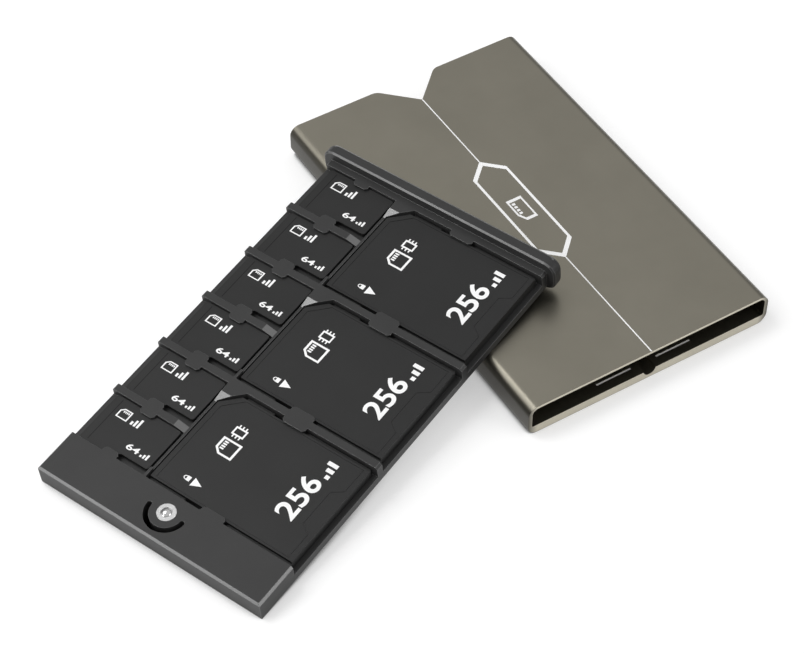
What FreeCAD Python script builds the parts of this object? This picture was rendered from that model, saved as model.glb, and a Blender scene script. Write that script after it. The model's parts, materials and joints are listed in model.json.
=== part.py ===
# Pocket case for memory cards: a flat aluminium sleeve, and the moulded card tray that was drawn out of it
# and now leans on it, with its ball catch and its nine cards.
# Frame: X across the sleeve, Y along it towards the finger notch, Z up, and the origin in the middle of the
# sleeve's underside. Lengths are in millimetres, angles in degrees.

import FreeCAD, Part
import math
import os
import re

import Sketcher

# Driving sizes

SIZES = [
    # full-size card: overall, rails along both long edges, cut corner at the contact end, shells' joint
    ("large_length", 32.0),
    ("large_width", 24.0),
    ("large_thick", 2.1),
    ("large_rail_width", 0.75),
    ("large_rail_thick", 1.4),
    ("large_cut", 4.0),
    ("large_corner", 0.7),
    ("large_split", 1.0),
    # write-lock notch, its slider, and the small notch in the other edge
    ("lock_notch_start", 8.15),
    ("lock_notch_length", 6.2),
    ("lock_length", 2.9),
    ("lock_low", 0.2),
    ("lock_thick", 1.05),
    ("lock_gap", 0.05),
    ("lock_tongue_depth", 0.45),
    ("lock_tongue_thick", 0.3),
    ("key_notch_start", 10.0),
    ("key_notch_length", 2.5),
    # circuit board and contact pads of the full-size card
    ("board_inset", 1.4),
    ("board_thick", 0.6),
    ("board_gap", 0.05),
    ("pad_recess", 0.7),
    ("pad_first", 2.2),
    ("pad_last", 2.6),
    ("pad_space", 0.9),
    ("pad_length", 4.0),
    ("pad_setback", 1.5),
    ("pad_step", 2.7),
    ("pad_thick", 0.05),
    ("pad_window_gap", 0.2),
    # label sheet of the full-size card, with a finger bay at the rear end
    ("label_side_inset", 0.45),
    ("label_end_inset", 1.05),
    ("label_cut", 3.3),
    ("label_thick", 0.08),
    ("label_recess", 0.1),
    ("label_gap", 0.06),
    ("label_bay_depth", 2.1),
    ("label_bay_margin", 5.4),
    ("label_bay_slope", 1.5),
    # small card: overall, thick rear ridge, narrower contact end, pads
    ("small_length", 15.0),
    ("small_width", 11.0),
    ("small_thick", 1.0),
    ("small_ridge_length", 1.6),
    ("small_ridge_drop", 0.3),
    ("small_waist", 1.3),
    ("small_waist_length", 6.1),
    ("small_corner", 0.5),
    ("small_pad_first", 0.95),
    ("small_pad_last", 1.05),
    ("small_pad_space", 0.35),
    ("small_pad_length", 2.8),
    ("small_pad_setback", 1.1),
    ("small_pad_thick", 0.04),
    # how the cards lie in the tray
    ("card_setback", 0.5),
    ("seat_gap", 0.05),
    ("card_gap", 0.15),
    ("small_side_gap", 0.2),
    ("small_end_gap", 0.4),
    ("large_end_gap", 0.35),
    ("small_rim", 1.5),
    ("large_rim", 1.05),
    # tray moulding
    ("tray_thickness", 4.4),
    ("block_length", 9.4),
    ("rib_width", 1.5),
    ("divider_width", 0.5),
    ("divider_sink", 0.1),
    ("stub_length", 2.2),
    ("ramp_length", 2.2),
    ("ramp_top", 2.1),
    ("slope_length", 2.4),
    ("tab_gap", 0.1),
    ("tab_reach", 1.15),
    ("tab_corner", 0.5),
    ("small_tab_width", 3.3),
    ("small_tab_place", 7.35),
    ("large_tab_width", 5.1),
    ("large_tab_place", 14.85),
    ("bevel_right", 0.45),
    ("bevel_left", 0.25),
    ("bevel_near", 0.4),
    # flange that closes the mouth of the sleeve
    ("flange_thick", 2.8),
    ("flange_proud", 0.05),
    ("flange_corner", 2.6),
    ("flange_round", 1.2),
    ("flange_bevel", 0.3),
    # ball catch in the end block, and the curved slot that frees its tongue
    ("catch_setback", 5.7),
    ("slot_radius", 3.75),
    ("slot_width", 1.0),
    ("slot_sweep_degrees", 172.0),
    ("cup_radius", 1.85),
    ("cup_wall", 0.5),
    ("cup_height", 3.9),
    ("cup_floor", 0.4),
    ("cup_lip", 0.15),
    ("cup_mouth_radius", 1.0),
    ("cup_fit", 0.02),
    ("ball_radius", 1.2),
    ("ball_gap", 0.03),
    ("spring_radius", 0.85),
    ("spring_wire_radius", 0.11),
    ("spring_gap", 0.04),
    # sleeve
    ("slide_clearance", 0.1),
    ("side_clearance", 0.95),
    ("sleeve_spare", 0.2),
    ("top_wall", 0.55),
    ("bottom_wall", 1.95),
    ("side_wall", 0.85),
    ("edge_radius", 2.1),
    ("bore_radius", 0.4),
    ("bore_top_radius", 1.3),
    ("notch_depth", 6.8),
    ("notch_width", 13.9),
    ("notch_shoulder", 2.4),
    ("channel_radius", 1.36),
    ("channel_depth", 1.2),
    ("mark_setback", 2.0),
    ("mark_start", 2.9),
    ("mark_length", 7.7),
    ("mark_width", 0.3),
    ("mark_depth", 0.1),
    # how the tray leans on the sleeve
    ("lean_turn_degrees", 68.1),
    ("lean_overlap", 0.27),
    ("lean_from_notch", 17.32),
    ("lean_gap", 0.05),
    # how far cutting tools run past what they cut
    ("overrun", 1.0),
]
LARGE_COUNT = 3
SMALL_COUNT = 2 * LARGE_COUNT
LARGE_PAD_COUNT = 9
SMALL_PAD_COUNT = 8
SPRING_TURNS = 4
SPRING_TURN_PARTS = 4
ROUND_PARTS = 10
FULL_TURN = 360

# Sizes that follow from the driving ones

DERIVED = {
    "large_pitch": "rib_width + max(large_width + 2*card_gap; 2*small_width + 4*small_side_gap + rib_width)",
    "large_gap": "(large_pitch - rib_width - large_width)/2",
    "small_pitch": "large_pitch/2",
    "small_gap": "(small_pitch - rib_width - small_width)/2",
    "divider_left": "small_rim + small_length + small_end_gap",
    "divider_right": "divider_left + divider_width",
    "large_start": "divider_right + large_end_gap",
    "tray_width": "large_start + large_length + large_rim",
    "body_length": "block_length + %d*large_pitch" % LARGE_COUNT,
    "card_top": "tray_thickness - card_setback",
    "large_base": "card_top - large_thick",
    "small_base": "card_top - small_thick",
    "large_floor": "large_base - seat_gap",
    "small_floor": "small_base - seat_gap",
    "divider_top": "card_top - divider_sink",
    "tab_thick": "card_setback - tab_gap",
    "sleeve_length": "body_length + sleeve_spare",
    "inner_width": "tray_width + 2*side_clearance",
    "inner_height": "tray_thickness + 2*slide_clearance",
    "sleeve_width": "inner_width + 2*side_wall",
    "sleeve_height": "inner_height + top_wall + bottom_wall",
    "sleeve_half": "sleeve_width/2",
    "sleeve_end": "sleeve_length/2",
    "flange_up": "slide_clearance + bottom_wall + flange_proud",
    "flange_drop": "slide_clearance + top_wall + flange_proud",
    "flange_over": "side_clearance + side_wall + flange_proud",
    "catch_across": "tray_width/2",
    "slot_end_degrees": "(180 - slot_sweep_degrees)/2",
    "cup_base": "tray_thickness - cup_height",
    "ball_height": "tray_thickness - cup_lip - ball_gap - sqrt(ball_radius^2 - cup_mouth_radius^2)",
    "spring_base": "cup_base + cup_floor + spring_gap + spring_wire_radius",
    "spring_reach": "ball_radius + spring_wire_radius + spring_gap",
    "spring_top": "ball_height - sqrt(spring_reach^2 - spring_radius^2)",
    "spring_height": "spring_top - spring_base",
    "lock_notch_end": "lock_notch_start + lock_notch_length",
    "lock_start": "lock_notch_end - lock_gap - lock_length",
    "key_notch_end": "key_notch_start + key_notch_length",
    "pad_pitch": "(large_width - pad_first - pad_last)/%d" % (LARGE_PAD_COUNT - 1),
    "pad_width": "pad_pitch - pad_space",
    "small_pad_span": "small_width - small_waist - small_pad_first - small_pad_last",
    "small_pad_pitch": "small_pad_span/%d" % (SMALL_PAD_COUNT - 1),
    "small_pad_width": "small_pad_pitch - small_pad_space",
    "board_top": "pad_recess + board_thick",
    "label_base": "large_thick - label_recess",
    "label_side": "large_rail_width + label_side_inset",
}
FUNCTIONS = ("sqrt", "sin", "cos", "max")

doc = FreeCAD.newDocument("memory_card_case")
sheet = doc.addObject("Spreadsheet::Sheet", "sizes")
for row, (alias, value) in enumerate(SIZES, 1):
    sheet.set("A%d" % row, alias)
    sheet.set("B%d" % row, "%g" % value)
    sheet.setAlias("B%d" % row, alias)
doc.recompute()


def where(text):
    """The expression for a size: derived names are opened up, driving names point into the sheet."""
    def swap(match):
        name = match.group(0)
        if name in FUNCTIONS:
            return name
        if name in DERIVED:
            return "(" + where(DERIVED[name]) + ")"
        return "sizes." + name
    return re.sub(r"[A-Za-z_]+", swap, text)


def size(text):
    """The present value of a size expression."""
    return float(sheet.evalExpression(where(text)))


def bind(thing, **sizes):
    """Binds properties of an object to size expressions; x, y, z and turn stand for its place."""
    places = {axis: "Placement.Base." + axis for axis in "xyz"}
    places["turn"] = "Placement.Rotation.Angle"
    for name, text in sizes.items():
        thing.setExpression(places.get(name, name), where(text))
    return thing


# Building blocks

START_POINT, END_POINT, CENTRE_POINT = range(1, 4)
X_AXIS = FreeCAD.Vector(1, 0, 0)
Y_AXIS = FreeCAD.Vector(0, 1, 0)
Z_AXIS = FreeCAD.Vector(0, 0, 1)
PLANES = {
    "XY": ("z", FreeCAD.Rotation()),
    "XZ": ("y", FreeCAD.Rotation(X_AXIS, 90)),
    "YZ": ("x", FreeCAD.Rotation(Y_AXIS, Z_AXIS, X_AXIS)),
}


def rectangle(x_low, y_low, x_high, y_high):
    """The four corners of a rectangle, as size expressions."""
    return [(x_low, y_low), (x_high, y_low), (x_high, y_high), (x_low, y_high)]


def pin(sketch, edge, corner, way, text):
    """Ties a point of an edge to its distance from the sketch origin."""
    if text == "0":
        axis = -2 if way == "X" else -1
        sketch.addConstraint(Sketcher.Constraint("PointOnObject", edge, corner, axis))
        return
    index = sketch.addConstraint(Sketcher.Constraint("Distance" + way, -1, START_POINT, edge, corner, size(text)))
    sketch.setExpression("Constraints[%d]" % index, where(text))


def draw(sketch, polygons):
    """Draws closed polygons whose corners are size expressions."""
    for points in polygons:
        first = sketch.GeometryCount
        corners = [FreeCAD.Vector(size(x), size(y), 0) for x, y in points]
        for start, end in zip(corners, corners[1:] + corners[:1]):
            sketch.addGeometry(Part.LineSegment(start, end))
        for number, (x, y) in enumerate(points):
            before = first + (number - 1) % len(points)
            edge = first + number
            sketch.addConstraint(Sketcher.Constraint("Coincident", before, END_POINT, edge, START_POINT))
            pin(sketch, edge, START_POINT, "X", x)
            pin(sketch, edge, START_POINT, "Y", y)
    return sketch


def draw_circle(sketch, x, y, radius):
    """Draws one circle from its centre and radius."""
    centre = FreeCAD.Vector(size(x), size(y), 0)
    edge = sketch.addGeometry(Part.Circle(centre, Z_AXIS, size(radius)))
    pin(sketch, edge, CENTRE_POINT, "X", x)
    pin(sketch, edge, CENTRE_POINT, "Y", y)
    index = sketch.addConstraint(Sketcher.Constraint("Radius", edge, size(radius)))
    sketch.setExpression("Constraints[%d]" % index, where(radius))
    return sketch


def draw_round(sketch, radius):
    """Draws a circle round the sketch origin as equal arcs, each tied by its ends and its radius."""
    circle = Part.Circle(FreeCAD.Vector(), Z_AXIS, size(radius))
    step = FULL_TURN / ROUND_PARTS
    starts = [step / 4 + number * step for number in range(ROUND_PARTS)]
    for start in starts:
        sketch.addGeometry(Part.ArcOfCircle(circle, math.radians(start), math.radians(start + step)))
    for edge, start in enumerate(starts):
        pin(sketch, edge, START_POINT, "X", "%s*cos(%g)" % (radius, start))
        pin(sketch, edge, START_POINT, "Y", "%s*sin(%g)" % (radius, start))
        after = (edge + 1) % ROUND_PARTS
        sketch.addConstraint(Sketcher.Constraint("Coincident", edge, END_POINT, after, START_POINT))
        index = sketch.addConstraint(Sketcher.Constraint("Radius", edge, size(radius)))
        sketch.setExpression("Constraints[%d]" % index, where(radius))
    return sketch


def prism(name, plane, polygons, start, length):
    """Polygons drawn across an axis, carried along it from start over length."""
    axis, turn = PLANES[plane]
    sketch = draw(doc.addObject("Sketcher::SketchObject", name + "_outline"), polygons)
    sketch.Placement.Rotation = turn
    bind(sketch, **{axis: start})
    solid = doc.addObject("Part::Extrusion", name)
    solid.Base = sketch
    solid.DirMode = "Normal"
    solid.Solid = True
    solid.Reversed = plane == "XZ"
    return bind(solid, LengthFwd=length)


def box(name, corner, spans):
    """A block from its lowest corner and its three lengths."""
    solid = doc.addObject("Part::Box", name)
    bind(solid, x=corner[0], y=corner[1], z=corner[2])
    return bind(solid, Length=spans[0], Width=spans[1], Height=spans[2])


def cylinder(name, centre, radius, height):
    """An upright cylinder from the middle of its lower face."""
    solid = doc.addObject("Part::Cylinder", name)
    bind(solid, x=centre[0], y=centre[1], z=centre[2])
    return bind(solid, Radius=radius, Height=height)


def fuse(name, pieces):
    """One solid from several that meet."""
    solid = doc.addObject("Part::MultiFuse", name)
    solid.Shapes = pieces
    solid.Refine = True
    return solid


def cut(name, base, tool):
    """One solid with another taken out of it."""
    solid = doc.addObject("Part::Cut", name)
    solid.Base = base
    solid.Tool = tool
    solid.Refine = True
    return solid


def group(name, pieces):
    """Separate solids that count as one piece."""
    solid = doc.addObject("Part::Compound", name)
    solid.Links = pieces
    return solid


def sketch_in(body, name, plane, lift="0"):
    """An empty sketch on one of a body's own planes, lifted along that plane's normal."""
    planes = {part.Role: part for part in body.Origin.OriginFeatures}
    sketch = body.newObject("Sketcher::SketchObject", name)
    sketch.AttachmentSupport = [(planes[plane + "_Plane"], "")]
    sketch.MapMode = "FlatFace"
    if lift != "0":
        sketch.setExpression("AttachmentOffset.Base.z", where(lift))
    return sketch


def pad(body, name, plane, polygons, length, lift="0"):
    """Adds polygons carried over a length towards +X, +Y or +Z."""
    sketch = draw(sketch_in(body, name + "_outline", plane, lift), polygons)
    feature = body.newObject("PartDesign::Pad", name)
    feature.Profile = sketch
    feature.Reversed = plane == "XZ"
    return bind(feature, Length=length)


def pocket(body, name, plane, sketch, length):
    """Takes away a sketch carried over a length towards +X, +Y or +Z, and makes sure that it cut."""
    doc.recompute()
    before = body.Shape.Volume
    feature = body.newObject("PartDesign::Pocket", name)
    feature.Profile = sketch
    feature.Reversed = plane != "XZ"
    bind(feature, Length=length)
    doc.recompute()
    if not body.Shape.Volume < before:
        raise RuntimeError(name + " cuts nothing")
    return feature


def hollow(body, name, plane, polygons, length, lift="0"):
    """Takes away polygons carried over a length towards +X, +Y or +Z."""
    sketch = draw(sketch_in(body, name + "_outline", plane, lift), polygons)
    return pocket(body, name, plane, sketch, length)


def dress(body, kind, name, chosen, **sizes):
    """A fillet or a chamfer on the straight edges whose midpoint and direction pass a test."""
    doc.recompute()
    names = []
    for number, edge in enumerate(body.Shape.Edges, 1):
        if edge.Curve.TypeId != "Part::GeomLine":
            continue
        start, end = (vertex.Point for vertex in edge.Vertexes)
        if chosen((start + end) / 2, (end - start).normalize()):
            names.append("Edge%d" % number)
    base = body.Tip
    feature = body.newObject("PartDesign::" + kind, name)
    feature.Base = (base, names)
    bind(feature, **sizes)
    doc.recompute()
    return feature


def at(value, text):
    """Whether a coordinate is at a size."""
    return abs(value - size(text)) < FreeCAD.Base.Precision.approximation()


def runs(along, axis):
    """Whether a direction is that of an axis."""
    return abs(along.dot(axis)) > math.cos(math.radians(1))


# Sleeve: a flat tube with a V-shaped finger notch, a ball channel and two scribed marks inside its mouth

def make_sleeve():
    body = doc.addObject("PartDesign::Body", "sleeve_shell")
    tube = rectangle("-sleeve_half", "0", "sleeve_half", "sleeve_height")
    bore = rectangle("-inner_width/2", "bottom_wall", "inner_width/2", "bottom_wall + inner_height")
    pad(body, "tube", "XZ", [tube], "sleeve_length", "sleeve_end")
    hollow(body, "bore", "XZ", [bore], "sleeve_length", "sleeve_end")

    def outer(middle, along):
        return runs(along, Y_AXIS) and at(abs(middle.x), "sleeve_half")

    def inner_low(middle, along):
        return runs(along, Y_AXIS) and at(abs(middle.x), "inner_width/2") and at(middle.z, "bottom_wall")

    def inner_top(middle, along):
        side = runs(along, Y_AXIS) and at(abs(middle.x), "inner_width/2")
        return side and at(middle.z, "bottom_wall + inner_height")

    def shoulder(middle, along):
        return runs(along, Z_AXIS) and at(abs(middle.x), "notch_width/2")

    dress(body, "Fillet", "outer_edges", outer, Radius="edge_radius")
    dress(body, "Fillet", "inner_low_edges", inner_low, Radius="bore_radius")
    dress(body, "Fillet", "inner_top_edges", inner_top, Radius="bore_top_radius")
    channel = sketch_in(body, "channel_outline", "XZ", "sleeve_end")
    draw_circle(channel, "0", "bottom_wall - channel_depth + channel_radius", "channel_radius")
    pocket(body, "channel", "XZ", channel, "sleeve_length")
    notch = [
        ("-notch_width/2", "sleeve_end"),
        ("0", "sleeve_end - notch_depth"),
        ("notch_width/2", "sleeve_end"),
        ("notch_width/2", "sleeve_end + overrun"),
        ("-notch_width/2", "sleeve_end + overrun"),
    ]
    hollow(body, "finger_notch", "XY", [notch], "sleeve_height")
    dress(body, "Fillet", "notch_shoulders", shoulder, Radius="notch_shoulder")
    front = "mark_setback - sleeve_end"
    marks = [
        rectangle("-mark_start - mark_length", front, "-mark_start", front + " + mark_width"),
        rectangle("mark_start", front, "mark_start + mark_length", front + " + mark_width"),
    ]
    hollow(body, "scribed_marks", "XY", marks, "mark_depth", "bottom_wall - mark_depth")
    return body


# Tray, in a frame of its own: X across from the small cards, Y along from the end block, Z up

def rib_far(number):
    """Where the rib after so many small pitches ends; rib 0 is the end of the block."""
    return "block_length + %d*small_pitch" % number


def rib_near(number):
    """Where that rib starts."""
    return rib_far(number) + " - rib_width"


def tab(middle, width, number):
    """An eight-sided tab that overhangs a rib on both sides."""
    left = "%s - %s/2" % (middle, width)
    right = "%s + %s/2" % (middle, width)
    low = rib_near(number) + " - tab_reach"
    high = rib_far(number) + " + tab_reach"
    return [
        (left + " + tab_corner", low),
        (right + " - tab_corner", low),
        (right, low + " + tab_corner"),
        (right, high + " - tab_corner"),
        (right + " - tab_corner", high),
        (left + " + tab_corner", high),
        (left, high + " - tab_corner"),
        (left, low + " + tab_corner"),
    ]


def make_flange():
    """The rounded bar across the far end, a little larger than the sleeve's section."""
    body = doc.addObject("PartDesign::Body", "flange")
    right = "tray_width + flange_over"
    face = rectangle("-flange_over", "-flange_drop", right, "tray_thickness + flange_up")
    pad(body, "flange_bar", "XZ", [face], "flange_thick", "-body_length")

    def corner(middle, along):
        return runs(along, Y_AXIS)

    def inner(middle, along):
        return at(middle.y, "body_length")

    def outer(middle, along):
        return at(middle.y, "body_length + flange_thick")

    dress(body, "Fillet", "flange_corners", corner, Radius="flange_corner")
    dress(body, "Chamfer", "flange_inner", inner, Size="flange_bevel")
    dress(body, "Fillet", "flange_outer", outer, Radius="flange_round")
    return body


def make_divider():
    """The wall between the two columns: it fills each card's cut corner and dips between the ribs."""
    plans = []
    saddles = []
    for number in range(0, SMALL_COUNT, 2):
        start = rib_far(number)
        end = rib_near(number + 2)
        plans.append([
            ("divider_left", start),
            ("divider_right", start),
            ("divider_right", end + " - large_cut"),
            ("divider_right + large_cut", end),
            ("divider_left", end),
        ])
        saddles.append([
            (start + " + stub_length", "divider_top"),
            (end + " - ramp_top - ramp_length", "divider_top"),
            (end + " - ramp_top", "tray_thickness"),
            (end + " - ramp_top", "tray_thickness + overrun"),
            (start + " + stub_length", "tray_thickness + overrun"),
        ])
    walls = prism("divider_walls", "XY", plans, "0", "tray_thickness")
    across = "divider_width + large_cut + overrun"
    dips = prism("divider_dips", "YZ", saddles, "divider_left - overrun", across)
    return cut("divider", walls, dips)


def make_slot():
    """The curved slot round the near side of the catch, with round ends."""
    low = "-overrun"
    high = "tray_thickness + 2*overrun"
    middle = ("catch_across", "catch_setback", low)
    outer = cylinder("slot_outer", middle, "slot_radius + slot_width/2", high)
    bind(outer, Angle="slot_sweep_degrees", turn="180 + slot_end_degrees")
    inner = cylinder("slot_inner", middle, "slot_radius - slot_width/2", high)
    pieces = [cut("slot_arc", outer, inner)]
    for side in ("-", "+"):
        across = "catch_across %s slot_radius*cos(slot_end_degrees)" % side
        along = "catch_setback - slot_radius*sin(slot_end_degrees)"
        pieces.append(cylinder("slot_end", (across, along, low), "slot_width/2", high))
    return pieces


def make_bevels():
    """Tools for the bright bevels on both side ends of the block and ribs, and on the near end."""
    top = "tray_thickness"
    above = "tray_thickness + overrun"
    right = [
        ("tray_width - bevel_right", top),
        ("tray_width + overrun", top + " - bevel_right - overrun"),
        ("tray_width + overrun", above),
        ("tray_width - bevel_right", above),
    ]
    left = [
        ("bevel_left", top),
        ("bevel_left", above),
        ("-overrun", above),
        ("-overrun", top + " - bevel_left - overrun"),
    ]
    near = [
        ("bevel_near", top),
        ("bevel_near", above),
        ("-overrun", above),
        ("-overrun", top + " - bevel_near - overrun"),
    ]
    return [
        prism("right_bevel", "XZ", [right], "-overrun", "body_length + overrun"),
        prism("left_bevel", "XZ", [left], "-overrun", "body_length + overrun"),
        prism("near_bevel", "YZ", [near], "-overrun", "tray_width + 2*overrun"),
    ]


def make_tray():
    top = "tray_thickness"
    bars = [rectangle("0", "0", "tray_width", "block_length")]
    for number in range(2, SMALL_COUNT + 1, 2):
        bars.append(rectangle("0", rib_near(number), "tray_width", rib_far(number)))
    pieces = [
        box("large_card_floor", ("0", "0", "0"), ("tray_width", "body_length", "large_floor")),
        box("small_card_floor", ("0", "0", "0"), ("divider_right", "body_length", "small_floor")),
        prism("block_and_ribs", "XY", bars, "0", top),
        make_divider(),
        make_flange(),
    ]
    slope = [
        ("0", "0"),
        ("divider_right", "0"),
        ("divider_right", "divider_top"),
        ("divider_left", "divider_top"),
        ("divider_left - slope_length", top),
        ("0", top),
    ]
    for number in range(1, SMALL_COUNT, 2):
        pieces.append(prism("small_rib", "XZ", [slope], rib_near(number), "rib_width"))
    small_middle = "small_rim + small_tab_place"
    large_middle = "large_start + large_tab_place"
    tabs = [tab(small_middle, "small_tab_width", number) for number in range(SMALL_COUNT + 1)]
    tabs += [tab(large_middle, "large_tab_width", number) for number in range(0, SMALL_COUNT + 1, 2)]
    pieces.append(prism("tabs", "XY", tabs, top + " - tab_thick", "tab_thick"))
    seat = ("catch_across", "catch_setback", "cup_base")
    tools = [cylinder("cup_seat", seat, "cup_radius + cup_fit", "cup_height + overrun")]
    tools += make_bevels() + make_slot()
    return cut("tray_frame", fuse("tray_blank", pieces), fuse("tray_tools", tools))


# Ball catch: a cup pressed into the block, a coil spring and the ball that the cup's lip keeps in

def make_cup():
    centre = ("catch_across", "catch_setback")
    outside = cylinder("cup_outside", centre + ("cup_base",), "cup_radius", "cup_height")
    inside = cylinder("cup_inside", centre + ("cup_base + cup_floor",), "cup_radius - cup_wall",
                      "cup_height - cup_floor - cup_lip")
    mouth = cylinder("cup_mouth", centre + ("cup_base + cup_floor",), "cup_mouth_radius", "cup_height")
    return cut("catch_cup", outside, fuse("cup_hollow", [inside, mouth]))


def make_ball():
    sphere = doc.addObject("Part::Sphere", "ball_sphere")
    bind(sphere, Radius="ball_radius", x="catch_across", y="catch_setback", z="ball_height")
    return group("catch_ball", [sphere])


def make_spring():
    coil = doc.addObject("Part::Helix", "spring_path")
    bind(coil, Radius="spring_radius", Height="spring_height", Pitch="spring_height/%d" % SPRING_TURNS)
    bind(coil, x="catch_across", y="catch_setback", z="spring_base")
    coil.SegmentLength = 1 / SPRING_TURN_PARTS
    wire = draw_round(doc.addObject("Sketcher::SketchObject", "spring_section"), "spring_wire_radius")
    wire.Placement.Rotation = FreeCAD.Rotation(X_AXIS, 90)
    bind(wire, x="catch_across + spring_radius", y="catch_setback", z="spring_base")
    doc.recompute()
    turns = doc.addObject("Part::Sweep", "spring_turns")
    turns.Sections = [wire]
    turns.Spine = (coil, ["Edge%d" % number for number in range(1, len(coil.Shape.Edges) + 1)])
    turns.Solid = True
    turns.Frenet = True
    return group("catch_spring", [turns])


# Full-size card, in a frame of its own: X from the contact end, Y across from the write-lock edge, Z up

def card_outline():
    """The card's outline with both edge notches and the cut corner."""
    return [
        ("0", "0"),
        ("lock_notch_start", "0"),
        ("lock_notch_start", "large_rail_width"),
        ("lock_notch_end", "large_rail_width"),
        ("lock_notch_end", "0"),
        ("large_length", "0"),
        ("large_length", "large_width"),
        ("key_notch_end", "large_width"),
        ("key_notch_end", "large_width - large_rail_width"),
        ("key_notch_start", "large_width - large_rail_width"),
        ("key_notch_start", "large_width"),
        ("large_cut", "large_width"),
        ("0", "large_width - large_cut"),
    ]


def card_core(inset, grow="0"):
    """The outline without its notches, drawn in by an inset, and let out again by a clearance."""
    low = "(%s - %s)" % (inset, grow)
    return [
        (low, low),
        ("large_length - " + low, low),
        ("large_length - " + low, "large_width - " + low),
        ("large_cut + (sqrt(2) - 1)*" + low, "large_width - " + low),
        (low, "large_width - large_cut - (sqrt(2) - 1)*" + low),
    ]


def label_outline(grow="0"):
    """The label's outline, with a bay at the rear end, let out by a clearance."""
    front = "label_end_inset - " + grow
    rear = "large_length - label_end_inset + " + grow
    low = "label_side - " + grow
    high = "large_width - label_side + " + grow
    bay = rear + " - label_bay_depth"
    bay_low = "label_side + label_bay_margin + " + grow
    bay_high = "large_width - label_side - label_bay_margin - " + grow
    return [
        (front, low),
        (rear, low),
        (rear, bay_low),
        (bay, bay_low + " + label_bay_slope"),
        (bay, bay_high + " - label_bay_slope"),
        (rear, bay_high),
        (rear, high),
        (front + " + label_cut", high),
        (front, high + " - label_cut"),
    ]


def contact_pads(grow="0"):
    """The contact pads' outlines, let out by a clearance; the last one stands back from the cut corner."""
    pads = []
    for number in range(LARGE_PAD_COUNT):
        middle = "pad_first + %d*pad_pitch" % number
        back = "pad_setback + pad_step" if number == LARGE_PAD_COUNT - 1 else "pad_setback"
        pads.append(rectangle(
            back + " - " + grow, middle + " - pad_width/2 - " + grow,
            back + " + pad_length + " + grow, middle + " + pad_width/2 + " + grow))
    return pads


def round_rear(body):
    """Rounds a shell's two rear corners."""
    dress(body, "Fillet", "rear_corners",
          lambda middle, along: runs(along, Z_AXIS) and at(middle.x, "large_length"), Radius="large_corner")


def make_bottom_shell(name):
    body = doc.addObject("PartDesign::Body", name)
    pad(body, "plate", "XY", [card_outline()], "large_split")
    round_rear(body)
    bed = card_core("board_inset", "board_gap")
    hollow(body, "board_bed", "XY", [bed], "large_split - pad_recess", "pad_recess")
    hollow(body, "pad_windows", "XY", contact_pads("pad_window_gap"), "pad_recess")
    slot = rectangle("lock_notch_start", "large_rail_width - overrun", "lock_notch_end",
                     "large_rail_width + lock_tongue_depth + lock_gap")
    hollow(body, "tongue_slot", "XY", [slot], "lock_tongue_thick + 2*lock_gap",
           "large_split - lock_tongue_thick - 2*lock_gap")
    return body


def make_top_shell(name):
    body = doc.addObject("PartDesign::Body", name)
    pad(body, "rails", "XY", [card_outline()], "large_rail_thick - large_split", "large_split")
    round_rear(body)
    raised = [
        ("0", "large_rail_width"),
        ("large_length", "large_rail_width"),
        ("large_length", "large_width - large_rail_width"),
        ("large_cut - large_rail_width", "large_width - large_rail_width"),
        ("0", "large_width - large_cut"),
    ]
    pad(body, "raised_face", "XY", [raised], "large_thick - large_rail_thick", "large_rail_thick")
    bed = card_core("board_inset", "board_gap")
    hollow(body, "board_roof", "XY", [bed], "board_top + board_gap - large_split", "large_split")
    hollow(body, "label_bed", "XY", [label_outline("label_gap")], "label_recess", "label_base")
    return body


def make_lock(name):
    slider = box(name + "_slider", ("lock_start", "0", "lock_low"),
                 ("lock_length", "large_rail_width - lock_gap", "lock_thick"))
    tongue = box(name + "_tongue", ("lock_start", "0", "large_split - lock_gap - lock_tongue_thick"),
                 ("lock_length", "large_rail_width + lock_tongue_depth", "lock_tongue_thick"))
    return fuse(name, [slider, tongue])


def make_large_card(name):
    board = card_core("board_inset")
    return [
        make_bottom_shell(name + "_bottom_shell"),
        make_top_shell(name + "_top_shell"),
        prism(name + "_board", "XY", [board], "pad_recess", "board_thick"),
        prism(name + "_contacts", "XY", contact_pads(), "pad_recess - pad_thick", "pad_thick"),
        prism(name + "_label", "XY", [label_outline()], "label_base", "label_thick"),
        make_lock(name + "_lock_slider"),
    ]


# Small card, in a frame of its own: X from the rear ridge to the contact end, Y across, Z up

def make_small_card(name):
    neck = "small_length - small_waist_length"
    outline = [
        ("0", "0"),
        (neck + " - small_waist", "0"),
        (neck, "small_waist"),
        ("small_length", "small_waist"),
        ("small_length", "small_width"),
        ("0", "small_width"),
    ]
    body = doc.addObject("PartDesign::Body", name + "_body")
    pad(body, "ridge", "XY", [rectangle("0", "0", "small_ridge_length", "small_width")], "small_ridge_drop")
    pad(body, "slab", "XY", [outline], "small_thick - small_ridge_drop", "small_ridge_drop")

    def end_corner(middle, along):
        return runs(along, Z_AXIS) and (at(middle.x, "0") or at(middle.x, "small_length"))

    dress(body, "Fillet", "end_corners", end_corner, Radius="small_corner")
    pads = []
    for number in range(SMALL_PAD_COUNT):
        middle = "small_waist + small_pad_first + %d*small_pad_pitch" % number
        end = "small_length - small_pad_setback"
        pads.append(rectangle(end + " - small_pad_length", middle + " - small_pad_width/2",
                              end, middle + " + small_pad_width/2"))
    low = "small_ridge_drop - small_pad_thick"
    return [body, prism(name + "_contacts", "XY", pads, low, "small_pad_thick")]


# Where the pieces lie

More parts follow.
